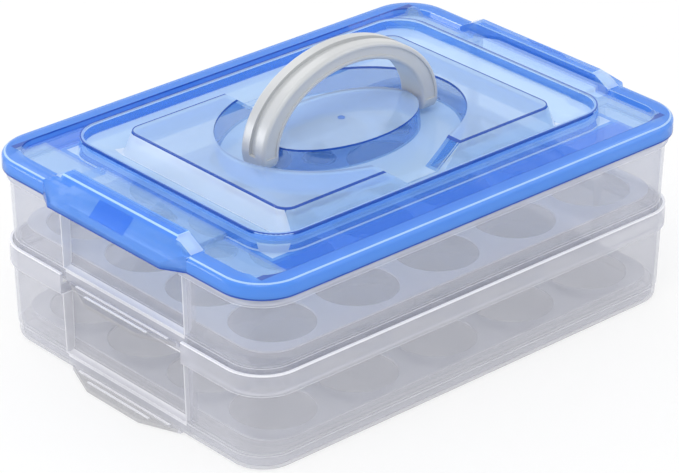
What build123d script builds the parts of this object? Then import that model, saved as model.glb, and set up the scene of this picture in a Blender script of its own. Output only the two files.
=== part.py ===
"""Two-tier deviled egg carrier: two clear trays with egg inserts under a blue lid with a folding handle."""

import os

from build123d import *

# Tray heights, mm. The lower tray stands on z = 0 and each tray above stands one pitch higher.
wall = 1.6
tray_pitch = 49.7
nest_depth = 6.6
collar_height = 12.3

# Plan of the lid and trays, mm
lid_length = 305.0
lid_width = 219.0
lid_corner = 25.5
lid_fit = 0.4
collar_flare = 1.7
body_draft = 1.1
foot_height = 8.8
foot_step = 0.5
foot_draft = 0.3
base_round = 3.5
step_round = 0.8
collar_round = 0.5

# Recess and pull tab at each short end of a tray, mm
recess_width = 97.0
recess_depth = 5.9
ledge_height = 9.4
ledge_round = 3.0
pull_reach = 10.0
pull_root_width = 88.0
pull_tip_width = 42.0
pull_plate = 2.2
pull_lift = 0.8
pull_corner = 7.0
pull_rib_width = 1.2
pull_rib_height = 0.6
pull_ribs = ((1.6, 74.0), (5.4, 50.0))

# Egg insert, mm
cup_columns = 5
cup_rows = 4
cup_pitch_x = 55.8
cup_pitch_y = 49.0
cup_mouth_radius = 22.5
cup_flat_radius = 5.0
cup_depth = 12.3
insert_skin = 1.2
insert_gap = 1.0
insert_lip = 4.0
insert_corner = 19.0
peak_root_radius = 9.5
peak_tip_radius = 2.2
peak_height = 9.0
row_names = ("front", "mid_front", "mid_back", "back")

# Lid, mm
skirt_drop = 7.15
rim_round = 3.0
moat_length = 283.0
moat_width = 197.0
moat_corner = 15.5
moat_draft = 1.2
moat_drop = 2.8
landing_width = 100.0
crest_length = 238.0
crest_width = 165.0
crest_corner = 20.0
crest_height = 6.9
crest_draft = 1.4
crest_land = 1.8
ridge_depth = 5.3
ridge_draft = 0.8
ridge_base = 1.8
dish_drop = 11.7
dish_root_length = 197.0
dish_root_width = 134.0
dish_root_corner = 9.0
block_root_length = 195.4
block_root_width = 133.0
block_root_corner = 9.0
block_length = 187.4
block_width = 125.2
block_corner = 7.5
block_rise = 12.7
oval_root_length = 140.0
oval_root_width = 108.0
oval_length = 146.0
oval_width = 114.0
flare_root_width = 20.0
flare_mouth_width = 54.0
flare_start = 40.0
boss_root_length = 98.8
boss_root_width = 61.6
boss_length = 96.4
boss_width = 59.2
boss_rise = 12.2

# Grip tab at each end of the lid, mm
grip_reach = 6.9
grip_tip_width = 90.0
grip_root_width = 115.0
grip_bar_width = 91.0
grip_bar_rise = 6.4
grip_bar_inset = 11.5
grip_bar_flat = 6.5

# Handle, mm
pivot_rise = 9.25
pin_diameter = 3.6
pin_fit = 0.05
pin_reach = 3.5
pin_end_gap = 0.3
socket_skin = 2.0
handle_width = 18.0
handle_side_gap = 0.8
handle_leg = 11.4
handle_rise = 45.7
handle_crown = 9.6
handle_foot_drop = 5.6
channel_width = 4.8
channel_depth = 2.0
handle_round = 1.8
panel_inset = 2.4
panel_depth = 0.7

# Small overshoot that keeps cutting shapes clear of the faces they cut, mm
overshoot = 1.0

# Heights worked out
rim_height = tray_pitch + nest_depth
step_height = rim_height - collar_height
lid_seat = tray_pitch + rim_height
land_height = lid_seat + wall
skirt_bottom = lid_seat - skirt_drop
moat_floor = land_height - moat_drop
crest_top = land_height + crest_height
shelf_height = crest_top - ridge_depth
ridge_room_top = shelf_height - ridge_base
floor_height = crest_top - dish_drop
block_top = floor_height + block_rise
boss_top = floor_height + boss_rise
pivot_height = floor_height + pivot_rise
insert_top = wall + insert_skin + cup_depth

# Half sizes worked out
lid_x = lid_length / 2
lid_y = lid_width / 2
collar_x = lid_x - wall - lid_fit
collar_y = lid_y - wall - lid_fit
collar_corner = lid_corner - wall - lid_fit
body_x = collar_x - collar_flare
body_y = collar_y - collar_flare
body_corner = collar_corner - collar_flare
foot_x = body_x - body_draft - foot_step
foot_y = body_y - body_draft - foot_step
foot_corner = body_corner - body_draft - foot_step
base_x = foot_x - foot_draft
base_y = foot_y - foot_draft
base_corner = foot_corner - foot_draft
recess_x = body_x - recess_depth
recess_inner_x = recess_x - wall
insert_x = recess_inner_x - insert_gap
insert_y = base_y - wall - insert_gap
crest_x = crest_length / 2
crest_y = crest_width / 2
shelf_x = crest_x - crest_land - ridge_draft
shelf_y = crest_y - crest_land - ridge_draft
shelf_corner = crest_corner - crest_land - ridge_draft
grip_bar_start = lid_x - grip_bar_inset
grip_bar_end = grip_bar_start + grip_bar_flat
leg_inner = boss_root_length / 2 + handle_side_gap
pin_tip_x = leg_inner - handle_side_gap - pin_reach
leg_outer = leg_inner + handle_leg


def rounded(height, half_x, half_y, radius):
    """Outline of a rounded rectangle at one height."""
    with BuildSketch(Plane.XY.offset(height)) as outline:
        RectangleRounded(2 * half_x, 2 * half_y, radius)
    return outline.sketch


def oval(height, half_x, half_y):
    """Outline of an ellipse at one height."""
    with BuildSketch(Plane.XY.offset(height)) as outline:
        Ellipse(half_x, half_y)
    return outline.sketch


def tapered(low, high, mode=Mode.ADD):
    """Straight walls between two outlines of the same kind at different heights."""
    loft([low, high], ruled=True, mode=mode)


def upright(outline, height, mode=Mode.ADD):
    """Vertical walls on one outline."""
    extrude(outline, amount=height, mode=mode)


def end_box(side, inner_x, outer_x, width, bottom, top, mode=Mode.ADD):
    """Block at one short end, side being -1 or 1."""
    with Locations((side * (inner_x + outer_x) / 2, 0, (bottom + top) / 2)):
        Box(outer_x - inner_x, width, top - bottom, mode=mode)


def end_outline(height, side, corners):
    """Plan of a tab at one short end, from its corners (x, half width) going outward."""
    ring = [(side * x, -half) for x, half in corners]
    ring += [(side * x, half) for x, half in reversed(corners)]
    with BuildSketch(Plane.XY.offset(height)) as outline:
        with BuildLine():
            Polyline(*ring, close=True)
        make_face()
    return outline.sketch


def side_wall(height, inset):
    """Outline of a tray's wall above its foot at one height."""
    share = (step_height - height) / (step_height - foot_height)
    grow = -share * body_draft - inset
    return rounded(height, body_x + grow, body_y + grow, body_corner + grow)


# Tray form, standing on z = 0
with BuildPart() as tray_body:
    tapered(
        rounded(0, base_x, base_y, base_corner),
        rounded(foot_height, foot_x, foot_y, foot_corner),
    )
    fillet(tray_body.edges().group_by(Axis.Z)[0], base_round)
    tapered(side_wall(foot_height, 0), side_wall(step_height, 0))
    upright(rounded(step_height, collar_x, collar_y, collar_corner), collar_height)
    step_faces = tray_body.faces().filter_by(Plane.XY).group_by(Axis.Z)[-2]
    fillet(step_faces.edges(), step_round)
    fillet(tray_body.faces().sort_by(Axis.Z)[-1].edges(), collar_round)
    for side in (-1, 1):
        end_box(
            side,
            recess_x,
            lid_x,
            recess_width,
            ledge_height,
            rim_height + overshoot,
            mode=Mode.SUBTRACT,
        )
        foot_line = tray_body.edges().filter_by(Axis.Y).sort_by(
            lambda edge: abs(edge.center().X - side * recess_x) + abs(edge.center().Z - ledge_height)
        )
        fillet(foot_line[0], ledge_round)

# Pull tabs at the feet of both short ends
with BuildPart() as pull_tabs:
    for side in (-1, 1):
        plan = end_outline(
            pull_lift,
            side,
            [
                (recess_x, pull_root_width / 2),
                (base_x + overshoot, pull_root_width / 2),
                (base_x + pull_reach, pull_tip_width / 2),
            ],
        )
        upright(plan, pull_plate)
    tips = pull_tabs.edges().filter_by(Axis.Z).group_by(lambda edge: round(abs(edge.center().X), 1))[-1]
    fillet(tips, pull_corner)
    for side in (-1, 1):
        for start, width in pull_ribs:
            end_box(
                side,
                base_x + start,
                base_x + start + pull_rib_width,
                width,
                pull_lift + pull_plate,
                pull_lift + pull_plate + pull_rib_height,
            )

# Room inside the tray form
with BuildPart() as tray_room:
    tapered(
        rounded(wall, base_x - wall, base_y - wall, base_corner - wall),
        rounded(foot_height + wall, foot_x - wall, foot_y - wall, foot_corner - wall),
    )
    fillet(tray_room.edges().group_by(Axis.Z)[0], base_round - wall)
    tapered(side_wall(foot_height + wall, wall), side_wall(step_height, wall))
    upright(
        rounded(step_height, body_x - wall, body_y - wall, body_corner - wall),
        tray_pitch - step_height,
    )
    upright(
        rounded(step_height + wall, collar_x - wall, collar_y - wall, collar_corner - wall),
        tray_pitch - step_height - wall,
    )
    for side in (-1, 1):
        end_box(
            side,
            recess_inner_x,
            lid_x,
            recess_width + 2 * wall,
            ledge_height - wall,
            tray_pitch,
            mode=Mode.SUBTRACT,
        )
    upright(
        rounded(tray_pitch, collar_x - wall, collar_y - wall, collar_corner - wall),
        nest_depth + overshoot,
    )

with BuildPart() as lower_tray:
    add(tray_body.part)
    add(pull_tabs.part)
    add(tray_room.part, mode=Mode.SUBTRACT)
lower_tray.part.label = "lower_tray"

with BuildPart() as upper_tray:
    add(lower_tray.part.moved(Location((0, 0, tray_pitch))))
upper_tray.part.label = "upper_tray"

# One egg cup: the outer body and the hollow, both turned round the cup's axis
cup_radius = ((cup_mouth_radius - cup_flat_radius) ** 2 + cup_depth**2) / (2 * cup_depth)
cup_centre = wall + insert_skin + cup_radius
shell_radius = cup_radius + insert_skin
shell_mouth = cup_flat_radius + (shell_radius**2 - (cup_centre - insert_top) ** 2) ** 0.5
cup_places = GridLocations(cup_pitch_x, cup_pitch_y, cup_columns, cup_rows).locations
peak_places = GridLocations(cup_pitch_x, cup_pitch_y, cup_columns - 1, cup_rows - 1).locations

with BuildPart() as cup_shell:
    with BuildSketch(Plane.XZ):
        with BuildLine():
            Line((0, insert_top), (0, wall))
            Line((0, wall), (cup_flat_radius, wall))
            RadiusArc((cup_flat_radius, wall), (shell_mouth, insert_top), -shell_radius)
            Line((shell_mouth, insert_top), (0, insert_top))
        make_face()
    revolve(axis=Axis.Z)

with BuildPart() as cup_hollow:
    with BuildSketch(Plane.XZ):
        with BuildLine():
            Line((0, insert_top), (0, wall + insert_skin))
            Line((0, wall + insert_skin), (cup_flat_radius, wall + insert_skin))
            RadiusArc(
                (cup_flat_radius, wall + insert_skin), (cup_mouth_radius, insert_top), -cup_radius
            )
            Line((cup_mouth_radius, insert_top), (0, insert_top))
        make_face()
    revolve(axis=Axis.Z)

# Egg insert: a sheet with a turned-down lip, twenty cups and a hollow peak between each four cups
with BuildPart() as egg_insert:
    upright(
        rounded(insert_top - insert_lip, insert_x, insert_y, insert_corner),
        insert_lip,
    )
    upright(
        rounded(
            insert_top - insert_lip,
            insert_x - insert_skin,
            insert_y - insert_skin,
            insert_corner - insert_skin,
        ),
        insert_lip - insert_skin,
        mode=Mode.SUBTRACT,
    )
    with Locations(cup_places):
        add(cup_shell.part)
    with Locations([place * Pos(0, 0, insert_top + peak_height / 2) for place in peak_places]):
        Cone(peak_root_radius, peak_tip_radius, peak_height)
    with Locations([place * Pos(0, 0, insert_top - insert_skin + peak_height / 2) for place in peak_places]):
        Cone(
            peak_root_radius - insert_skin,
            peak_tip_radius - insert_skin,
            peak_height,
            mode=Mode.SUBTRACT,
        )
    with Locations(cup_places):
        add(cup_hollow.part, mode=Mode.SUBTRACT)

# Both tiers' inserts, each parted on flat planes between its rows of cups, front row first
row_edges = [-insert_y, -cup_pitch_y, 0, cup_pitch_y, insert_y]
insert_rows = []
for tier, lift in (("lower", 0), ("upper", tray_pitch)):
    for name, near, far in zip(row_names, row_edges, row_edges[1:]):
        with BuildPart() as insert_row:
            add(egg_insert.part.moved(Location((0, 0, lift))))
            with Locations((0, (near + far) / 2, lift + rim_height / 2)):
                Box(lid_length, far - near, rim_height, mode=Mode.INTERSECT)
        insert_row.part.label = f"{tier}_insert_{name}_row"
        insert_rows.append(insert_row)


def moat_wall(height, offset):
    """Outline of the sunken band inside the rim at one height."""
    grow = moat_draft * (height - moat_floor) / moat_drop + offset
    return rounded(height, moat_length / 2 + grow, moat_width / 2 + grow, moat_corner + grow)


def crest_wall(height, offset):
    """Outline of the crest's outer wall at one height."""
    grow = crest_draft * (crest_top - height) / (crest_top - moat_floor) - offset
    return rounded(height, crest_x + grow, crest_y + grow, crest_corner + grow)


def dish_wall(height, offset):
    """Outline of the dish's sloping wall at one height, offset square to the slope."""
    rise = shelf_height - floor_height
    share = (height - floor_height) / rise
    run_x = shelf_x - dish_root_length / 2
    run_y = shelf_y - dish_root_width / 2
    half_x = dish_root_length / 2 + share * run_x + offset * (1 + (run_x / rise) ** 2) ** 0.5
    half_y = dish_root_width / 2 + share * run_y + offset * (1 + (run_y / rise) ** 2) ** 0.5
    corner = dish_root_corner + share * (shelf_corner - dish_root_corner) + offset
    return rounded(height, half_x, half_y, corner)


def block_wall(height, offset):
    """Outline of the two raised blocks' outer wall at one height."""
    share = (height - floor_height) / block_rise
    half_x = (block_root_length + share * (block_length - block_root_length)) / 2 - offset
    half_y = (block_root_width + share * (block_width - block_root_width)) / 2 - offset
    corner = block_root_corner + share * (block_corner - block_root_corner) - offset
    return rounded(height, half_x, half_y, corner)


def recess_wall(height, offset):
    """Outline of the oval recess between the blocks at one height."""
    share = (height - floor_height) / block_rise
    half_x = (oval_root_length + share * (oval_length - oval_root_length)) / 2 + offset
    half_y = (oval_root_width + share * (oval_width - oval_root_width)) / 2 + offset
    return oval(height, half_x, half_y)


def boss_wall(height, offset):
    """Outline of the middle boss at one height."""
    share = (height - floor_height) / boss_rise
    half_x = (boss_root_length + share * (boss_length - boss_root_length)) / 2 - offset
    half_y = (boss_root_width + share * (boss_width - boss_root_width)) / 2 - offset
    return oval(height, half_x, half_y)


def flare_cut(side, bottom, top, offset):
    """Opening from the oval recess out to one long side, wider towards its top."""
    spread = (flare_mouth_width - flare_root_width) / 2 / block_rise
    low = flare_root_width / 2 + (bottom - floor_height) * spread + offset * (1 + spread**2) ** 0.5
    high = low + (top - bottom) * spread
    with BuildSketch(Plane.XZ.offset(-side * flare_start)) as section:
        with BuildLine():
            Polyline((-low, bottom), (low, bottom), (high, top), (-high, top), close=True)
        make_face()
    extrude(section.sketch, amount=side * -(lid_y - flare_start), mode=Mode.SUBTRACT)


def grip_hood(side, skin):
    """Hood over a tray's end recess: a raised bar, a face sloping down past the rim and sloping ends."""
    top = land_height + grip_bar_rise - skin
    toe = lid_x + grip_reach - skin
    shoulder = grip_bar_end - skin * (2**0.5 - 1)
    with BuildSketch(Plane.XZ.offset(grip_root_width / 2)) as section:
        with BuildLine():
            Polyline(
                (side * (grip_bar_start + skin), skirt_bottom),
                (side * (grip_bar_start + skin), top),
                (side * shoulder, top),
                (side * toe, top - toe + shoulder),
                (side * toe, skirt_bottom),
                close=True,
            )
        make_face()
    hood = extrude(section.sketch, amount=-grip_root_width, mode=Mode.PRIVATE)
    root = grip_root_width / 2 - skin
    tip = grip_tip_width / 2 - skin
    plan = end_outline(
        skirt_bottom, side, [(grip_bar_start - overshoot, root), (lid_x - skin, root), (toe, tip)]
    )
    run = (grip_root_width - grip_bar_width) / 2 / grip_bar_rise
    square = skin * (1 + run**2) ** 0.5
    crown = grip_bar_width / 2 + skin * run - square
    kink = land_height - (square - skin) / run
    with BuildSketch(Plane.YZ) as ends:
        with BuildLine():
            Polyline(
                (-root, skirt_bottom),
                (-root, kink),
                (-crown, top),
                (crown, top),
                (root, kink),
                (root, skirt_bottom),
                close=True,
            )
        make_face()
    hood = hood & extrude(plan, amount=top - skirt_bottom, mode=Mode.PRIVATE)
    return hood & extrude(ends.sketch, amount=side * (toe + overshoot), mode=Mode.PRIVATE)


# Lid, outside form: rim, sunken band, grips, end landings and the crest round the dish
with BuildPart() as lid_form:
    upright(rounded(skirt_bottom, lid_x, lid_y, lid_corner), land_height - skirt_bottom)
    fillet(lid_form.faces().sort_by(Axis.Z)[-1].edges(), rim_round)
    tapered(moat_wall(moat_floor, 0), moat_wall(land_height, 0), mode=Mode.SUBTRACT)
    for side in (-1, 1):
        add(grip_hood(side, 0))
        end_box(side, crest_x, grip_bar_start + overshoot, landing_width, moat_floor, land_height)
    tapered(crest_wall(moat_floor, 0), crest_wall(crest_top, 0))
    tapered(
        rounded(shelf_height, shelf_x, shelf_y, shelf_corner),
        rounded(crest_top, crest_x - crest_land, crest_y - crest_land, crest_corner - crest_land),
        mode=Mode.SUBTRACT,
    )
    tapered(dish_wall(floor_height, 0), dish_wall(shelf_height, 0), mode=Mode.SUBTRACT)

# The two blocks that stand in the dish, with the oval recess and its openings cut through
with BuildPart() as lid_blocks:
    tapered(block_wall(floor_height, 0), block_wall(block_top, 0))
    tapered(recess_wall(floor_height, 0), recess_wall(block_top, 0), mode=Mode.SUBTRACT)
    for side in (-1, 1):
        flare_cut(side, floor_height, block_top, 0)

# Room under the blocks
with BuildPart() as block_room:
    tapered(block_wall(floor_height - wall, wall), block_wall(block_top - wall, wall))
    tapered(recess_wall(floor_height - wall, wall), recess_wall(block_top - wall, wall), mode=Mode.SUBTRACT)
    for side in (-1, 1):
        flare_cut(side, floor_height - wall, block_top - wall, wall)

# Room under the rim, the crest, the end landings and the grips
with BuildPart() as rim_room:
    upright(rounded(skirt_bottom, lid_x - wall, lid_y - wall, lid_corner - wall), skirt_drop)
    tapered(moat_wall(moat_floor - wall, wall), moat_wall(lid_seat, wall), mode=Mode.SUBTRACT)
    tapered(crest_wall(moat_floor - wall, wall), crest_wall(ridge_room_top, wall))
    for side in (-1, 1):
        end_box(
            side,
            shelf_x,
            grip_bar_start + wall + overshoot,
            landing_width - 2 * wall,
            moat_floor - wall,
            lid_seat,
        )
        add(grip_hood(side, wall))
    tapered(dish_wall(floor_height - wall, wall), dish_wall(ridge_room_top, wall), mode=Mode.SUBTRACT)

# Room under the middle boss, with a solid socket left at each end for the handle's pin
with BuildPart() as boss_room:
    tapered(boss_wall(floor_height - wall, wall), boss_wall(boss_top - wall, wall))
    for side in (-1, 1):
        end_box(
            side,
            pin_tip_x - socket_skin,
            leg_inner,
            pin_diameter + 2 * socket_skin,
            pivot_height - pin_diameter / 2 - socket_skin,
            boss_top,
            mode=Mode.SUBTRACT,
        )

with BuildPart() as lid:
    add(lid_form.part)
    add(lid_blocks.part)
    tapered(boss_wall(floor_height, 0), boss_wall(boss_top, 0))
    add(rim_room.part, mode=Mode.SUBTRACT)
    add(block_room.part, mode=Mode.SUBTRACT)
    add(boss_room.part, mode=Mode.SUBTRACT)
    for side in (-1, 1):
        with Locations((side * (pin_tip_x - pin_end_gap + leg_inner) / 2, 0, pivot_height)):
            Cylinder(
                pin_diameter / 2 + pin_fit,
                leg_inner - pin_tip_x + pin_end_gap,
                rotation=(0, 90, 0),
                mode=Mode.SUBTRACT,
            )
lid.part.label = "lid"


def arch_band(height, outer_x, outer_z, inner_x, inner_z):
    """Upper half of an elliptical ring about the pivot line, drawn at one depth along Y."""
    with BuildSketch(Plane.XZ.offset(height)) as band:
        with Locations((0, pivot_height)):
            Ellipse(outer_x, outer_z)
            Ellipse(inner_x, inner_z, mode=Mode.SUBTRACT)
        with Locations((0, pivot_height - outer_z / 2)):
            Rectangle(2 * outer_x, outer_z, mode=Mode.SUBTRACT)
    return band.sketch


# Handle: an arch with round feet, a channel along its back and a pin inside each foot
with BuildPart() as carry_handle:
    arch = arch_band(
        -handle_width / 2, leg_outer, handle_rise, leg_inner, handle_rise - handle_crown
    )
    extrude(arch, amount=handle_width)
    fillet(carry_handle.edges().filter_by(Plane.XZ).filter_by(GeomType.ELLIPSE), handle_round)
    with BuildSketch(Plane.XY.offset(pivot_height)) as feet:
        for side in (-1, 1):
            with Locations((side * (leg_inner + leg_outer) / 2, 0)):
                Rectangle(handle_leg, handle_width)
        fillet(feet.vertices(), handle_round)
        with Locations((0, -handle_width / 2)):
            Rectangle(2 * (leg_outer + overshoot), handle_width, mode=Mode.SUBTRACT)
    revolve(axis=Axis((0, 0, pivot_height), (1, 0, 0)), revolution_arc=-180)
    with Locations((0, 0, pivot_height - handle_foot_drop - handle_width / 2)):
        Box(2 * (leg_outer + overshoot), handle_width, handle_width, mode=Mode.SUBTRACT)
    channel = arch_band(
        -channel_width / 2,
        leg_outer + overshoot,
        handle_rise + overshoot,
        leg_outer - channel_depth,
        handle_rise - channel_depth,
    )
    extrude(channel, amount=channel_width, mode=Mode.SUBTRACT)
    for depth in (-handle_width / 2, handle_width / 2 - panel_depth):
        panel = arch_band(
            depth,
            leg_outer - panel_inset,
            handle_rise - panel_inset,
            leg_inner + panel_inset,
            handle_rise - handle_crown + panel_inset,
        )
        extrude(panel, amount=panel_depth, mode=Mode.SUBTRACT)
    for side in (-1, 1):
        with Locations((side * (pin_tip_x + leg_inner + handle_leg / 2) / 2, 0, pivot_height)):
            Cylinder(
                pin_diameter / 2,
                leg_inner + handle_leg / 2 - pin_tip_x,
                rotation=(0, 90, 0),
            )
carry_handle.part.label = "carry_handle"

os.makedirs("parts", exist_ok=True)
for piece in (lower_tray, upper_tray, *insert_rows, lid, carry_handle):
    export_step(piece.part, f"parts/{piece.part.label}.step")
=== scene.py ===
"""Deviled egg carrier.

Two clear trays with egg inserts, a see-through blue lid and an off-white folding handle.
"""

import logging
import math
from dataclasses import dataclass, replace
from enum import Enum
from functools import reduce
from operator import add, mul
from typing import Any, Sequence

import bpy
from mathutils import Matrix, Vector


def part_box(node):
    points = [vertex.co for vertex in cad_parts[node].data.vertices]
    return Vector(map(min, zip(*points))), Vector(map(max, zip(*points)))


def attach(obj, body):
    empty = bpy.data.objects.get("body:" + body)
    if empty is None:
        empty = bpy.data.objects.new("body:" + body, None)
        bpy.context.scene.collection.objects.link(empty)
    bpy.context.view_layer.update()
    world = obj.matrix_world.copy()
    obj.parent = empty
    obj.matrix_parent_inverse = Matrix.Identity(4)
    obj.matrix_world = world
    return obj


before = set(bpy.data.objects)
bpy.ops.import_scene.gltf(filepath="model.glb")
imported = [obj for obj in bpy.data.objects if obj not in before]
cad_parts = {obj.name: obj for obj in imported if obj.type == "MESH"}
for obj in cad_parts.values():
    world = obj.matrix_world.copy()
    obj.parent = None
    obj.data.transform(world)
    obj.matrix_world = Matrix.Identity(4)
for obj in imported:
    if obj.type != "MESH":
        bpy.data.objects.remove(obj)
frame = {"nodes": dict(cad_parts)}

log = logging.getLogger("egg_carrier")
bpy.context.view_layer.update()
Colour = tuple[float, float, float]
MM = 0.001
WHITE = (1.0, 1.0, 1.0, 1.0)

# Limits of a zone that begins at the middle or runs past the outside, in millimetres
MIDDLE = -1.0
OUTSIDE = 170.0


class Kind(Enum):
    """Shader nodes that the finishes use, by their type names."""

    PRINCIPLED = "ShaderNodeBsdfPrincipled"
    MATH = "ShaderNodeMath"
    NOISE = "ShaderNodeTexNoise"
    MAPPING = "ShaderNodeMapping"
    COORDS = "ShaderNodeTexCoord"
    MIX_COLOUR = "ShaderNodeMix"
    BUMP = "ShaderNodeBump"
    FACING = "ShaderNodeLayerWeight"
    SPLIT = "ShaderNodeSeparateXYZ"
    RAMP = "ShaderNodeValToRGB"
    CLEAR = "ShaderNodeBsdfTransparent"
    LIGHT_PATH = "ShaderNodeLightPath"
    EMISSION = "ShaderNodeEmission"
    BACKGROUND = "ShaderNodeBackground"
    MIX_SHADER = "ShaderNodeMixShader"
    MATERIAL_OUTPUT = "ShaderNodeOutputMaterial"
    WORLD_OUTPUT = "ShaderNodeOutputWorld"


@dataclass(frozen=True)
class Signal:
    """One output socket of a shader graph, which adds Math nodes when it is used in arithmetic."""

    graph: "Graph"
    socket: bpy.types.NodeSocket

    def _math(self, operation: str, *values: Any) -> "Signal":
        """Result of a Math node on these values."""
        return self.graph.node(Kind.MATH, {"operation": operation}, dict(enumerate(values)))

    def __add__(self, other: Any) -> "Signal":
        """Sum with a number or signal."""
        return self._math("ADD", self, other)

    __radd__ = __add__

    def __sub__(self, other: Any) -> "Signal":
        """Difference from a number or signal."""
        return self._math("SUBTRACT", self, other)

    def __rsub__(self, other: Any) -> "Signal":
        """Number less this signal."""
        return self._math("SUBTRACT", other, self)

    def __mul__(self, other: Any) -> "Signal":
        """Product with a number or signal."""
        return self._math("MULTIPLY", self, other)

    __rmul__ = __mul__

    def __pow__(self, power: float) -> "Signal":
        """This signal raised to a power."""
        return self._math("POWER", self, power)

    def other(self, output: str) -> "Signal":
        """Another output of the node that this signal comes from."""
        return Signal(self.graph, self.socket.node.outputs[output])

    def size(self) -> "Signal":
        """This signal without its sign."""
        return self._math("ABSOLUTE", self)

    def positive(self) -> "Signal":
        """This signal, or 0 where it is negative."""
        return self._math("MAXIMUM", self, 0.0)

    def clamped(self) -> "Signal":
        """This signal held between 0 and 1."""
        return self._math("MINIMUM", self.positive(), 1.0)

    def between(self, low: float, high: float) -> "Signal":
        """1 where the signal lies between two values, 0 elsewhere."""
        return self._math("GREATER_THAN", self, low) * self._math("LESS_THAN", self, high)


def distance(along: Signal, across: Signal) -> Signal:
    """Distance of a place from the middle, given by its two parts."""
    return (along * along + across * across) ** 0.5


class Graph:
    """Node tree of one material or world."""

    # Places of the Mix node's sockets when it mixes colours
    MIX_SHARE, MIX_LOW, MIX_HIGH, MIX_RESULT = 0, 6, 7, 2

    def __init__(self, owner: bpy.types.Material | bpy.types.World) -> None:
        """Empties the owner's tree.

        Args:
            owner: Material or world whose nodes are written.
        """
        owner.use_nodes = True
        self.tree = owner.node_tree
        self.tree.nodes.clear()

    def node(
        self,
        kind: Kind,
        settings: dict[str, Any] | None = None,
        inputs: dict[Any, Any] | None = None,
        output: str | int = 0,
    ) -> Signal:
        """Adds a node.

        Args:
            kind: Type of node.
            settings: Attributes that are set first; "stops" fills a colour ramp.
            inputs: Socket names or places with their values or signals.
            output: Name or place of the output that is returned.

        Returns:
            The chosen output.
        """
        made = self.tree.nodes.new(kind.value)
        for name, value in (settings or {}).items():
            if name == "stops":
                self._fill_ramp(made.color_ramp, value)
            else:
                setattr(made, name, value)
        for name, value in (inputs or {}).items():
            if isinstance(value, Signal):
                self.tree.links.new(value.socket, made.inputs[name])
            else:
                made.inputs[name].default_value = value
        return Signal(self, made.outputs[output])

    @staticmethod
    def _fill_ramp(
        ramp: bpy.types.ColorRamp, stops: Sequence[tuple[float, Sequence[float]]]
    ) -> None:
        """Gives a new ramp, which has two elements, steps with hard edges.

        Args:
            ramp: The ramp.
            stops: Place, and colour with alpha, of each step, in rising order.
        """
        ramp.interpolation = "CONSTANT"
        ramp.elements.remove(ramp.elements[1])
        for index, (place, colour) in enumerate(stops):
            element = ramp.elements.new(place) if index else ramp.elements[0]
            element.position = place
            element.color = colour

    def mix(self, share: Any, low: Any, high: Any) -> Signal:
        """Colour between two colours.

        Args:
            share: 0 for the low colour, 1 for the high one.
            low: Colour or signal.
            high: Colour or signal.

        Returns:
            The mixed colour.
        """
        inputs = {self.MIX_SHARE: share, self.MIX_LOW: low, self.MIX_HIGH: high}
        return self.node(Kind.MIX_COLOUR, {"data_type": "RGBA"}, inputs, self.MIX_RESULT)

    def blend(self, share: Signal, low: Signal, high: Signal) -> Signal:
        """Shader between two shaders: the low one at a share of 0, the high one at 1."""
        return self.node(Kind.MIX_SHADER, inputs=dict(enumerate((share, low, high))))

    def place(self, scale: float = 1.0) -> Signal:
        """Object coordinates, times a scale."""
        coords = self.node(Kind.COORDS, output="Object")
        return self.node(Kind.MAPPING, inputs={"Vector": coords, "Scale": (scale,) * 3})

    def noise(self, scale: float, detail: float) -> Signal:
        """Cloudy pattern that stays on the object."""
        inputs = {"Vector": self.place(), "Scale": scale, "Detail": detail}
        return self.node(Kind.NOISE, inputs=inputs)

    def bump(self, height: Signal, strength: float, depth: float) -> Signal:
        """Normal that follows a pattern of the given depth in millimetres."""
        inputs = {"Strength": strength, "Distance": depth * MM, "Height": height}
        return self.node(Kind.BUMP, inputs=inputs)

    def ray(self, test: str) -> Signal:
        """1 for rays that pass a Light Path test, 0 for others."""
        return self.node(Kind.LIGHT_PATH, output=test)

    def finish(self, surface: Signal, target: Kind = Kind.MATERIAL_OUTPUT) -> None:
        """Connects a shader to the output.

        Args:
            surface: Shader signal.
            target: Output node.
        """
        made = self.tree.nodes.new(target.value)
        self.tree.links.new(surface.socket, made.inputs["Surface"])


@dataclass(frozen=True)
class Stop:
    """Colour and milkiness of a sheet from one height upwards, in millimetres."""

    start: float
    colour: Colour
    body: float


@dataclass(frozen=True)
class EdgeLine:
    """Thin line just inside a rounded rectangle round the middle, in millimetres; the lid paints
    its dark edge lines along it.
    """

    half_length: float
    half_width: float
    corner: float
    width: float = 0.7
    slack: float = 0.05

    def mask(self, along: Signal, across: Signal) -> Signal:
        """Finds where the line lies.

        Args:
            along: Distance from the middle along the carrier.
            across: Distance from the middle across it.

        Returns:
            1 on the line, 0 elsewhere.
        """
        beyond_end = (along - (self.half_length - self.corner)).positive()
        beyond_side = (across - (self.half_width - self.corner)).positive()
        out = distance(beyond_end, beyond_side)
        return out.between(self.corner - self.width, self.corner + self.slack)


@dataclass(frozen=True)
class Zone:
    """Part of a moulding's plan in which the look of the sheet follows the height.

    Distances are millimetres. Along and across count from the middle, so both ends and both long
    sides are alike. The rectangle named core, given by half its length and width, is left out.
    """

    stops: tuple[Stop, ...]
    along: tuple[float, float] | None = None
    across: tuple[float, float] | None = None
    core: tuple[float, float] | None = None
    edge: EdgeLine | None = None

    def mask(self, along: Signal, across: Signal) -> Signal:
        """Finds where the zone lies.

        Args:
            along: Distance from the middle along the carrier.
            across: Distance from the middle across it.

        Returns:
            1 inside the zone, 0 elsewhere.
        """
        parts = []
        if self.along:
            parts.append(along.between(*self.along))
        if self.across:
            parts.append(across.between(*self.across))
        if self.core:
            inside = along.between(MIDDLE, self.core[0]) * across.between(MIDDLE, self.core[1])
            parts.append(1.0 - inside)
        if self.edge:
            parts.append(self.edge.mask(along, across))
        return reduce(mul, parts)


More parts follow.
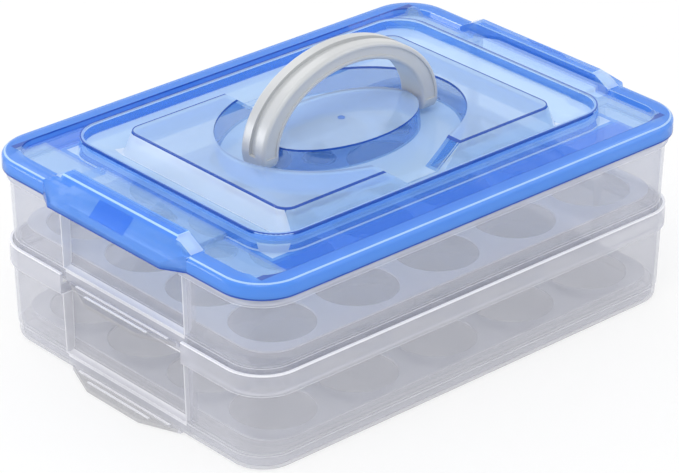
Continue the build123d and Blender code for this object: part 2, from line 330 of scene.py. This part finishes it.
@dataclass(frozen=True)
class ClearPlastic:
    """See-through moulded sheet: a tinted clear part and a milky part with a polished skin, on
    which the stops also paint highlight lines and dark edge lines.

    The first zone is the whole plan, and each later one covers those before it. Span holds the
    lowest and highest stop, over the base height.
    """

    name: str
    tint: Colour
    span: tuple[float, float]
    zones: tuple[Zone, ...]
    grazing_body: float
    roughness: float
    base_height: float = 0.0
    shadow_share: float = 0.45
    refraction: float = 1.49
    facing_blend: float = 0.5
    grazing_power: float = 4.0
    flow_scale: float = 30.0
    flow_detail: float = 3.0
    flow_gloss: float = 0.05
    flow_strength: float = 0.25
    flow_depth: float = 0.02

    def material(self) -> bpy.types.Material:
        """Builds the material.

        Returns:
            The finished material.
        """
        made = bpy.data.materials.new(self.name)
        graph = Graph(made)
        colour, body = self._sheet(graph)
        facing = graph.node(Kind.FACING, inputs={"Blend": self.facing_blend}, output="Facing")
        body = body + (self.grazing_body - body) * (facing**self.grazing_power)
        body = body * (1.0 - (1.0 - self.shadow_share) * graph.ray("Is Shadow Ray"))
        flow = graph.noise(self.flow_scale, self.flow_detail)
        skin = graph.node(
            Kind.PRINCIPLED,
            inputs={
                "Base Color": colour,
                "Roughness": self.roughness + self.flow_gloss * flow,
                "IOR": self.refraction,
                "Normal": graph.bump(flow, self.flow_strength, self.flow_depth),
            },
        )
        clear = graph.node(Kind.CLEAR, inputs={"Color": (*self.tint, 1.0)})
        graph.finish(graph.blend(body.clamped(), clear, skin))
        return made

    def _sheet(self, graph: Graph) -> tuple[Signal, Signal]:
        """Lays the zones over each other.

        Args:
            graph: Graph that the nodes go into.

        Returns:
            Colour and milkiness of the sheet.
        """
        millimetres = graph.place(1.0 / MM)
        spot = graph.node(Kind.SPLIT, inputs={0: millimetres})
        along, across = spot.size(), spot.other("Y").size()
        low, high = self.span
        rise = (spot.other("Z") - (self.base_height + low)) * (1.0 / (high - low))
        colour, body = self._by_height(graph, self.zones[0], rise)
        for zone in self.zones[1:]:
            mask = zone.mask(along, across)
            zone_colour, zone_body = self._by_height(graph, zone, rise)
            colour = graph.mix(mask, colour, zone_colour)
            body = body + (zone_body - body) * mask
        return colour, body

    def _by_height(self, graph: Graph, zone: Zone, rise: Signal) -> tuple[Signal, Signal]:
        """Reads one zone's stops.

        Args:
            graph: Graph that the nodes go into.
            zone: The zone.
            rise: Height as a share of the span.

        Returns:
            Colour and milkiness at every height.
        """
        low, high = self.span
        stops = [
            ((stop.start - low) / (high - low), (*stop.colour, stop.body)) for stop in zone.stops
        ]
        ramp = graph.node(Kind.RAMP, {"stops": stops}, {0: rise})
        return ramp, ramp.other("Alpha")


@dataclass(frozen=True)
class SatinPlastic:
    """Solid moulded plastic with a fine grain and a soft shine."""

    name: str
    colour: Colour
    shade: Colour
    roughness: float
    coat: float
    coat_roughness: float = 0.2
    cloud_scale: float = 40.0
    cloud_detail: float = 4.0
    grain_scale: float = 900.0
    grain_detail: float = 2.0
    grain_gloss: float = 0.12
    grain_strength: float = 0.15
    grain_depth: float = 0.03

    def material(self) -> bpy.types.Material:
        """Builds the material.

        Returns:
            The finished material.
        """
        made = bpy.data.materials.new(self.name)
        graph = Graph(made)
        cloud = graph.noise(self.cloud_scale, self.cloud_detail)
        grain = graph.noise(self.grain_scale, self.grain_detail)
        surface = graph.node(
            Kind.PRINCIPLED,
            inputs={
                "Base Color": graph.mix(cloud, (*self.shade, 1.0), (*self.colour, 1.0)),
                "Roughness": self.roughness + self.grain_gloss * grain,
                "Coat Weight": self.coat,
                "Coat Roughness": self.coat_roughness,
                "Normal": graph.bump(grain, self.grain_strength, self.grain_depth),
            },
        )
        graph.finish(surface)
        return made


def dress(node: str, material: bpy.types.Material) -> None:
    """Gives every material slot of a CAD node the same material.

    Args:
        node: Name of the CAD node.
        material: Material for all its slots.
    """
    piece = frame["nodes"][node]
    if not piece.material_slots:
        piece.data.materials.append(material)
    for slot in piece.material_slots:
        slot.material = material
    log.info("dressed %s in %s", node, material.name)


@dataclass(frozen=True)
class LidDetail:
    """Small raised mark on the lid with a sunken middle, in millimetres."""

    frame: float
    sunk: float
    edge_round: float
    edge_segments: int = 2
    facing: float = 0.99

    def _start(self, name: str) -> bpy.types.Object:
        """Makes an empty mesh at the origin and opens it for editing.

        Args:
            name: Name of the piece.

        Returns:
            The piece, in edit mode.
        """
        bpy.ops.object.select_all(action="DESELECT")
        piece = bpy.data.objects.new(name, bpy.data.meshes.new(name))
        bpy.context.scene.collection.objects.link(piece)
        bpy.context.view_layer.objects.active = piece
        piece.select_set(True)
        bpy.ops.object.mode_set(mode="EDIT")
        return piece

    def _finish(
        self, piece: bpy.types.Object, outward: Vector, material: bpy.types.Material
    ) -> None:
        """Sinks the outer face in its frame, rounds the edges and puts the piece on the lid.

        Args:
            piece: Piece in edit mode.
            outward: Direction that the outer face looks in.
            material: Finish.
        """
        bpy.ops.object.mode_set(mode="OBJECT")
        for face in piece.data.polygons:
            face.select = face.normal.dot(outward) > self.facing
        bpy.ops.object.mode_set(mode="EDIT")
        bpy.ops.mesh.select_mode(type="FACE")
        bpy.ops.mesh.inset(thickness=self.frame * MM)
        bpy.ops.transform.translate(value=outward * -self.sunk * MM)
        bpy.ops.object.mode_set(mode="OBJECT")
        edge = piece.modifiers.new("edge", "BEVEL")
        edge.width = self.edge_round * MM
        edge.segments = self.edge_segments
        edge.limit_method = "ANGLE"
        bpy.ops.object.modifier_apply(modifier=edge.name)
        piece.data.materials.append(material)
        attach(piece, "lid_body")
        log.info("built %s", piece.name)


@dataclass(frozen=True)
class GripPad(LidDetail):
    """Low framed pad on the sloping face of a lid grip."""

    frame: float = 1.0
    sunk: float = 0.3
    edge_round: float = 0.15
    side: int = 1
    length: float = 10.6
    width: float = 27.0
    thickness: float = 0.6
    proud: float = 0.45
    face_x: float = 153.45
    face_z: float = 108.05
    slope_deg: float = 45.0

    def build(self, material: bpy.types.Material) -> None:
        """Models the pad on its grip.

        Args:
            material: Finish of the pad.
        """
        slope = math.radians(self.slope_deg) * self.side
        outward = Vector((math.sin(slope), 0.0, math.cos(slope)))
        place = Vector((self.side * self.face_x, 0.0, self.face_z))
        place += outward * (self.proud - self.thickness / 2)
        piece = self._start(f"grip_pad_{'left' if self.side < 0 else 'right'}")
        bpy.ops.mesh.primitive_cube_add(
            size=1.0,
            location=place * MM,
            rotation=(0.0, slope, 0.0),
            scale=(self.length * MM, self.width * MM, self.thickness * MM),
        )
        self._finish(piece, outward, material)


@dataclass(frozen=True)
class GateMark(LidDetail):
    """Small ring left in the middle of the lid's boss by the mould's inlet."""

    frame: float = 0.6
    sunk: float = 0.25
    edge_round: float = 0.1
    sides: int = 32
    radius: float = 2.0
    height: float = 0.5
    foot_z: float = 114.9

    def build(self, material: bpy.types.Material) -> None:
        """Models the ring on the boss.

        Args:
            material: Finish of the ring.
        """
        piece = self._start("gate_mark")
        bpy.ops.mesh.primitive_cylinder_add(
            vertices=self.sides,
            radius=self.radius * MM,
            depth=self.height * MM,
            location=(0.0, 0.0, (self.foot_z + self.height / 2) * MM),
        )
        self._finish(piece, Vector((0.0, 0.0, 1.0)), material)


@dataclass(frozen=True)
class Lid:
    """See-through blue lid with its grip pads and its gate mark; its finish paints highlight
    lines, dark edge lines and a reflection by height.

    The sizes are those at which its look changes, in millimetres: heights over the table, and
    half lengths and half widths from the middle.
    """

    # Heights, among them the bounds of painted highlight lines and of painted dark edge lines
    foot: float = 98.0
    top: float = 116.0
    skirt_line: float = 99.7
    dish_floor: float = 102.9
    crest_foot: float = 104.8
    crest_foot_line: float = 105.7
    moat_floor: float = 105.2
    moat_lip: float = 106.8
    rim_line: float = 107.0
    rim_top: float = 107.45
    bar_foot: float = 107.7
    shelf_line: float = 109.1
    shelf_top: float = 109.4
    crest_edge: float = 113.0
    crest_line: float = 113.7
    crest_top: float = 114.4
    bar_line: float = 113.1
    bar_top: float = 113.9
    boss_edge: float = 113.8
    boss_top: float = 114.93
    block_edge: float = 114.4
    block_recess_edge: float = 114.2
    block_top: float = 115.42
    # Half lengths and half widths
    block_face: tuple[float, float] = (92.0, 61.2)
    block_root: tuple[float, float] = (98.2, 66.9)
    block_outline: EdgeLine = EdgeLine(93.7, 62.6, 7.5)
    boss: tuple[float, float] = (49.9, 31.2)
    crest_wall: tuple[float, float] = (118.3, 81.8)
    crest_outline: EdgeLine = EdgeLine(119.0, 82.5, 20.0)
    moat: tuple[float, float] = (121.2, 84.4)
    landing_side: float = 96.0
    rim: tuple[float, float] = (140.8, 99.8)
    grip_side: float = 57.4
    bar_slope: tuple[float, float] = (141.2, 149.5)
    bar_end: float = 45.9
    # Colours
    # The next colour paints dark lines along top edges, painted shade standing in for the
    # darkening that refraction gives there
    navy: Colour = (0.01, 0.07, 0.40)
    azure: Colour = (0.09, 0.32, 0.92)
    deep: Colour = (0.06, 0.24, 0.90)
    sky: Colour = (0.45, 0.67, 1.0)
    veil: Colour = (0.54, 0.73, 1.0)
    # The next colour paints highlight lines on the rim's rounding and along the grip bars' top
    # edges
    painted_glint: Colour = (0.48, 0.71, 1.0)
    # The next colour also paints highlight lines at the crest's inner top edge and at the foot of
    # its outer wall
    pale: Colour = (0.62, 0.80, 1.0)
    # The next colour is a painted near-white reflection of the lamps on the blocks' end faces
    painted_reflection_white: Colour = (0.88, 0.94, 1.0)

    def build(self) -> None:
        """Dresses the lid."""
        dress("lid", self._plastic().material())

    def build_details(self) -> None:
        """Models the pads and the ring."""
        pad = Zone((Stop(self.foot, self.deep, body=0.26),))
        blue = replace(self._plastic(), name="pad_blue", zones=(pad,)).material()
        for side in (-1, 1):
            GripPad(side=side).build(blue)
        GateMark().build(blue)

    def _plastic(self) -> ClearPlastic:
        """Describes the lid's plastic.

        Returns:
            Finish of the whole lid, with its zones from the middle outwards.
        """
        return ClearPlastic(
            name="see_through_blue",
            tint=(0.80, 0.90, 1.0),
            span=(self.foot, self.top),
            zones=(
                self._recess_zone(),
                *self._block_zones(),
                self._boss_zone(),
                *self._crest_zones(),
                *self._outlines(),
                *self._moat_zones(),
                *self._rim_zones(),
            ),
            grazing_body=0.7,
            roughness=0.05,
        )

    def _recess_zone(self) -> Zone:
        """Describes the oval recess between the blocks.

        Returns:
            Its zone, which the others cover wherever they lie.
        """
        return Zone(
            (
                Stop(self.foot, self.pale, body=0.5),
                Stop(self.dish_floor, self.azure, body=0.18),
                # Painted dark line along the blocks' top edges, seen from the recess
                Stop(self.block_recess_edge, self.navy, body=0.92),
                Stop(self.block_top, self.veil, body=0.42),
            )
        )

    def _block_zones(self) -> tuple[Zone, ...]:
        """Describes the blocks' sloping faces.

        Returns:
            Zones of the ends, whose near-white is a painted reflection of the lamps, and of the
            clearer long sides.
        """
        face_x, face_y = self.block_face
        root_x, root_y = self.block_root
        # Painted dark line along the blocks' top edges
        edge = Stop(self.block_edge, self.navy, body=0.92)
        top = Stop(self.block_top, self.veil, body=0.42)
        # The blocks' end faces get a painted near-white reflection of the lamps
        ends = Zone(
            (Stop(self.foot, self.painted_reflection_white, body=0.58), edge, top),
            along=(face_x, root_x),
            across=(MIDDLE, root_y),
        )
        sides = Zone(
            (Stop(self.foot, self.pale, body=0.42), edge, top),
            along=(MIDDLE, face_x),
            across=(face_y, root_y),
        )
        return ends, sides

    def _boss_zone(self) -> Zone:
        """Describes the oval boss in the middle.

        Returns:
            Its zone.
        """
        half_length, half_width = self.boss
        return Zone(
            (
                Stop(self.foot, self.pale, body=0.5),
                Stop(self.dish_floor, self.azure, body=0.22),
                # Painted dark line along the boss's top edge
                Stop(self.boss_edge, self.navy, body=0.92),
                Stop(self.boss_top, self.pale, body=0.42),
            ),
            along=(MIDDLE, half_length),
            across=(MIDDLE, half_width),
        )

    def _crest_zones(self) -> tuple[Zone, ...]:
        """Describes the dish round the blocks and the crest round the dish.

        Returns:
            Zones of the dish slope, shelf and inner wall, and of the crest's outer wall.
        """
        top = Stop(self.crest_top, self.sky, body=0.45)
        inside = Zone(
            (
                Stop(self.foot, self.sky, body=0.3),
                Stop(self.dish_floor, self.pale, body=0.5),
                Stop(self.shelf_line, self.sky, body=0.3),
                Stop(self.shelf_top, self.azure, body=0.4),
                # Painted highlight along the crest's inner top edge
                Stop(self.crest_line, self.pale, body=0.85),
                top,
            ),
            core=self.block_root,
        )
        outside = Zone(
            (
                Stop(self.foot, self.azure, body=0.45),
                # Painted highlight at the foot of the crest's outer wall
                Stop(self.crest_foot, self.pale, body=0.6),
                Stop(self.crest_foot_line, self.azure, body=0.42),
                # Painted dark line along the crest's outer top edge
                Stop(self.crest_edge, self.navy, body=0.95),
                top,
            ),
            core=self.crest_wall,
        )
        return inside, outside

    def _outlines(self) -> tuple[Zone, ...]:
        """Describes the painted dark lines along the outer top edges, which stand in for the
        darkening that refraction gives there.

        Returns:
            Zones of the edge round the blocks' tops and of that round the crest.
        """
        blocks = Zone(
            (
                Stop(self.foot, self.azure, body=0.2),
                Stop(self.block_recess_edge, self.navy, body=0.85),
            ),
            edge=self.block_outline,
        )
        crest = Zone(
            (Stop(self.foot, self.azure, body=0.42), Stop(self.crest_edge, self.navy, body=0.85)),
            edge=self.crest_outline,
        )
        return blocks, crest

    def _moat_zones(self) -> tuple[Zone, ...]:
        """Describes the sunken band round the crest.

        Returns:
            Zones of the band along the sides, and of the band with its landing at the ends.
        """
        sides = Zone(
            (
                Stop(self.foot, self.deep, body=0.45),
                Stop(self.moat_floor, self.azure, body=0.5),
                # Painted dark line along the top of the moat's outer wall
                Stop(self.moat_lip, self.navy, body=0.88),
            ),
            core=self.moat,
        )
        ends = Zone(
            (Stop(self.foot, self.sky, body=0.28),),
            along=(self.moat[0], self.rim[0]),
            across=(MIDDLE, self.landing_side),
        )
        return sides, ends

    def _rim_zones(self) -> tuple[Zone, ...]:
        """Describes the outermost parts.

        Returns:
            Zones of the rim with its skirt, the grips, and the sloping ends of their bars.
        """
        # Painted dark line along the skirt's lower edge
        skirt = Stop(self.foot, self.navy, body=0.9)
        rim = Zone(
            (
                skirt,
                Stop(self.skirt_line, self.azure, body=0.62),
                # Painted highlight on the rim's rounding
                Stop(self.rim_line, self.painted_glint, body=0.7),
                Stop(self.rim_top, self.azure, body=0.5),
            ),
            core=self.rim,
        )
        grips = Zone(
            (
                skirt,
                Stop(self.skirt_line, self.azure, body=0.44),
                # Painted highlight along the grip bars' top edges
                Stop(self.bar_line, self.painted_glint, body=0.8),
                Stop(self.bar_top, self.azure, body=0.38),
            ),
            along=(self.rim[0], OUTSIDE),
            across=(MIDDLE, self.grip_side),
        )
        bar_ends = Zone(
            (Stop(self.foot, self.azure, body=0.6), Stop(self.bar_foot, self.pale, body=0.5)),
            along=self.bar_slope,
            across=(self.bar_end, self.grip_side),
        )
        return rim, grips, bar_ends


@dataclass(frozen=True)
class Tier:
    """One clear tray with its egg insert.

    The sizes are those at which the look changes, in millimetres: heights over the tray's foot,
    and distances from the middle.
    """

    name: str
    # Heights of the tray's painted highlight lines, and of its insert's
    foot: float = 0.0
    top: float = 57.0
    foot_line: tuple[float, float] = (0.4, 1.1)
    ledge_line: tuple[float, float] = (8.5, 9.1)
    collar_line: tuple[float, float] = (43.5, 44.4)
    rim_line: float = 55.5
    recess_ledge: tuple[float, float] = (6.8, 10.2)
    recess_edge_foot: float = 8.6
    tab_line: tuple[float, float] = (3.1, 3.8)
    cup_floor: float = 3.2
    deck_line: tuple[float, float] = (14.2, 14.95)
    deck_top: float = 15.3
    peak_line: float = 22.9
    # Distances from the middle, along and across
    recess_reach: tuple[float, float] = (142.0, 148.4)
    recess_side: float = 48.6
    recess_edge: tuple[float, float] = (48.1, 49.2)
    tab_side: float = 45.0
    # Colours
    smoke: Colour = (0.46, 0.46, 0.48)
    milk: Colour = (0.68, 0.69, 0.76)
    # The next colour is the insert sheet's white and the white of the tray's painted highlight
    # lines
    glint_and_sheet_white: Colour = (0.86, 0.86, 0.90)

    def build(self) -> None:
        """Dresses the tray and every row of its insert."""
        tray_plastic = self._tray_plastic()
        dress(f"{self.name}_tray", tray_plastic.material())
        sheet = self._sheet_plastic(tray_plastic).material()
        for node in sorted(frame["nodes"]):
            if node.startswith(f"{self.name}_insert"):
                dress(node, sheet)

    def _tray_plastic(self) -> ClearPlastic:
        """Describes the tray's plastic.

        Returns:
            Finish of the tray, with its base height taken from the CAD.
        """
        lowest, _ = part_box(f"{self.name}_tray")
        return ClearPlastic(
            name=f"milky_clear_{self.name}",
            tint=(0.98, 0.98, 0.985),
            span=(self.foot, self.top),
            zones=self._tray_zones(),
            grazing_body=0.75,
            roughness=0.14,
            base_height=lowest[2] / MM,
        )

    def _tray_zones(self) -> tuple[Zone, ...]:
        """Describes the parts of the tray.

        Returns:
            Zones of the walls, the end recesses' ledges and upright edges, and the pull tabs, each
            with painted highlight lines.
        """
        # The light stops below paint highlight lines at the collar step, the rim, the foot, a low
        # line on the wall, the recess ledge and edges, and the tab's rib
        collar = (
            Stop(self.collar_line[0], self.glint_and_sheet_white, body=0.85),
            Stop(self.collar_line[1], self.milk, body=0.36),
            Stop(self.rim_line, self.glint_and_sheet_white, body=0.9),
        )
        wall = (
            Stop(self.foot, self.milk, body=0.3),
            Stop(self.foot_line[0], self.glint_and_sheet_white, body=0.45),
            Stop(self.foot_line[1], self.milk, body=0.3),
            Stop(self.ledge_line[0], self.glint_and_sheet_white, body=0.5),
            Stop(self.ledge_line[1], self.milk, body=0.26),
        )
        ledge = (
            Stop(self.foot, self.milk, body=0.4),
            Stop(self.recess_ledge[0], self.glint_and_sheet_white, body=0.72),
            Stop(self.recess_ledge[1], self.milk, body=0.22),
        )
        upright = (
            Stop(self.foot, self.milk, body=0.3),
            Stop(self.recess_edge_foot, self.glint_and_sheet_white, body=0.65),
        )
        tab = (
            Stop(self.foot, self.smoke, body=0.42),
            Stop(self.tab_line[0], self.glint_and_sheet_white, body=0.95),
            Stop(self.tab_line[1], self.milk, body=0.26),
        )
        recess_in, recess_out = self.recess_reach
        return (
            Zone((*wall, *collar)),
            Zone((*ledge, *collar), along=self.recess_reach, across=(MIDDLE, self.recess_side)),
            Zone((*upright, *collar), along=(recess_in, OUTSIDE), across=self.recess_edge),
            Zone((*tab, *collar), along=(recess_out, OUTSIDE), across=(MIDDLE, self.tab_side)),
        )

    def _sheet_plastic(self, tray_plastic: ClearPlastic) -> ClearPlastic:
        """Describes the insert's thin sheet.

        Args:
            tray_plastic: Finish of the tray that holds it.

        Returns:
            The tray's plastic, clearer and with the insert's lines, among them a painted highlight
            along the deck's edge.
        """
        sheet = Zone(
            (
                Stop(self.foot, self.glint_and_sheet_white, body=0.16),
                Stop(self.cup_floor, self.glint_and_sheet_white, body=0.22),
                # Painted highlight along the deck's edge
                Stop(self.deck_line[0], self.glint_and_sheet_white, body=0.6),
                Stop(self.deck_line[1], self.glint_and_sheet_white, body=0.22),
                Stop(self.deck_top, self.glint_and_sheet_white, body=0.12),
                Stop(self.peak_line, self.glint_and_sheet_white, body=0.3),
            )
        )
        return replace(
            tray_plastic,
            name=f"clear_sheet_{self.name}",
            tint=(0.985, 0.985, 0.99),
            zones=(sheet,),
            grazing_body=0.45,
        )


@dataclass(frozen=True)
class Handle:
    """Off-white folding handle."""

    plastic: SatinPlastic = SatinPlastic(
        name="off_white_moulding",
        colour=(0.56, 0.575, 0.585),
        shade=(0.50, 0.515, 0.53),
        roughness=0.28,
        coat=0.4,
    )

    def build(self) -> None:
        """Dresses the handle."""
        dress("carry_handle", self.plastic.material())


@dataclass(frozen=True)
class Lamp:
    """Square area lamp, in metres and watts."""

    name: str
    place: tuple[float, float, float]
    size: float
    power: float

    def build(self, target: Vector) -> None:
        """Hangs the lamp and turns it to a point.

        Args:
            target: Point that the lamp looks at.
        """
        bpy.ops.object.light_add(type="AREA", location=self.place)
        lamp = bpy.context.object
        lamp.name = self.name
        lamp.data.size = self.size
        lamp.data.energy = self.power
        aim = target - Vector(self.place)
        lamp.rotation_euler = aim.to_track_quat("-Z", "Y").to_euler()


@dataclass(frozen=True)
class Camera:
    """Camera that sees the object as the photograph does, in metres, degrees and pixels."""

    focal_px: float = 3318.7
    frame_width_px: int = 679
    azimuth_deg: float = -41.91
    elevation_deg: float = 26.29
    roll_deg: float = 0.1
    distance: float = 1.754
    aim_height: float = 0.075
    centre_offset_px: tuple[float, float] = (1.6, -50.3)
    sensor_mm: float = 36.0
    far_clip: float = 50.0

    def build(self) -> None:
        """Adds the camera, turned so that the object falls where it does in the photograph."""
        azimuth = math.radians(self.azimuth_deg)
        elevation = math.radians(self.elevation_deg)
        back = Vector(
            (
                math.sin(azimuth) * math.cos(elevation),
                -math.cos(azimuth) * math.cos(elevation),
                math.sin(elevation),
            )
        )
        place = Vector((0.0, 0.0, self.aim_height)) + back * self.distance
        turn = (-back).to_track_quat("-Z", "Y").to_matrix()
        offset_x, offset_y = self.centre_offset_px
        aim = turn @ Vector((-offset_x, offset_y, -self.focal_px)).normalized()
        turn = aim.to_track_quat("-Z", "Y").to_matrix().to_4x4()
        turn = turn @ Matrix.Rotation(math.radians(self.roll_deg), 4, "Z")
        bpy.ops.object.camera_add()
        camera = bpy.context.object
        camera.name = "photo_camera"
        camera.matrix_world = Matrix.Translation(place) @ turn
        camera.data.sensor_width = self.sensor_mm
        camera.data.lens = self.focal_px / self.frame_width_px * self.sensor_mm
        camera.data.clip_end = self.far_clip
        bpy.context.scene.camera = camera


@dataclass(frozen=True)
class Floor:
    """Pale floor that shows nearly white to the camera and keeps the object's shadow, in metres.

    Past the shadow's reach it turns wholly white over the length of the fade.
    """

    size: float = 6.0
    drop: float = 0.0002
    colour: Colour = (0.9, 0.9, 0.9)
    shade: float = 0.985
    cloud_scale: float = 3.0
    cloud_detail: float = 2.0
    roughness: float = 0.9
    specular: float = 0.1
    white_share: float = 0.7
    shadow_reach: float = 0.26
    shadow_fade: float = 0.45

    def build(self) -> None:
        """Adds the floor as stage."""
        bpy.ops.mesh.primitive_plane_add(size=self.size, location=(0.0, 0.0, -self.drop))
        floor = bpy.context.object
        floor.name = "studio_floor"
        floor.data.materials.append(self._paper())

    def _paper(self) -> bpy.types.Material:
        """Builds the floor's finish.

        Returns:
            The finished material.
        """
        made = bpy.data.materials.new("floor_paper")
        graph = Graph(made)
        low = tuple(value * self.shade for value in self.colour)
        cloud = graph.noise(self.cloud_scale, self.cloud_detail)
        paper = graph.node(
            Kind.PRINCIPLED,
            inputs={
                "Base Color": graph.mix(cloud, (*low, 1.0), (*self.colour, 1.0)),
                "Roughness": self.roughness,
                "Specular IOR Level": self.specular,
            },
        )
        white = graph.node(Kind.EMISSION, inputs={"Color": WHITE, "Strength": 1.0})
        spot = graph.node(Kind.SPLIT, inputs={0: graph.place()})
        past_shadow = distance(spot, spot.other("Y")) - self.shadow_reach
        away = (past_shadow * (1.0 / self.shadow_fade)).clamped()
        share = self.white_share + (1.0 - self.white_share) * away
        graph.finish(graph.blend(graph.ray("Is Camera Ray") * share, paper, white))
        return made


@dataclass(frozen=True)
class Studio:
    """Floor, soft lamps, white surround and the camera."""

    camera: Camera = Camera()
    floor: Floor = Floor()
    lamp_aim: float = 0.06
    surround_light: float = 0.8
    lamps: tuple[Lamp, ...] = (
        Lamp("key_softbox", (-0.9, -0.6, 1.9), size=1.2, power=14.0),
        Lamp("fill_softbox", (1.6, -1.6, 1.2), size=1.4, power=9.0),
        Lamp("back_softbox", (0.2, 1.8, 1.4), size=1.4, power=7.0),
        Lamp("left_strip", (-1.35, 1.2, 0.15), size=0.7, power=9.0),
    )

    def build(self) -> None:
        """Adds everything round the object."""
        self.camera.build()
        self.floor.build()
        for lamp in self.lamps:
            lamp.build(Vector((0.0, 0.0, self.lamp_aim)))
        self._surround()
        bpy.context.scene.view_settings.view_transform = "Standard"
        log.info("built the studio")

    def _surround(self) -> None:
        """Adds a world that looks white and lights the object a little less than that."""
        world = bpy.data.worlds.new("studio_surround")
        bpy.context.scene.world = world
        graph = Graph(world)
        tests = ("Is Camera Ray", "Is Glossy Ray", "Is Transmission Ray")
        seen = reduce(add, [graph.ray(test) for test in tests]).clamped()
        light = {"Color": WHITE, "Strength": self.surround_light}
        soft = graph.node(Kind.BACKGROUND, inputs=light)
        white = graph.node(Kind.BACKGROUND, inputs={"Color": WHITE, "Strength": 1.0})
        graph.finish(graph.blend(seen, soft, white), Kind.WORLD_OUTPUT)


def main() -> None:
    """Builds the scene piece by piece."""
    logging.basicConfig(level=logging.INFO, format="%(name)s: %(message)s")
    Studio().build()
    lid = Lid()
    lid.build()
    Handle().build()
    for name in ("lower", "upper"):
        Tier(name).build()
    lid.build_details()


if __name__ == "__main__":
    main()
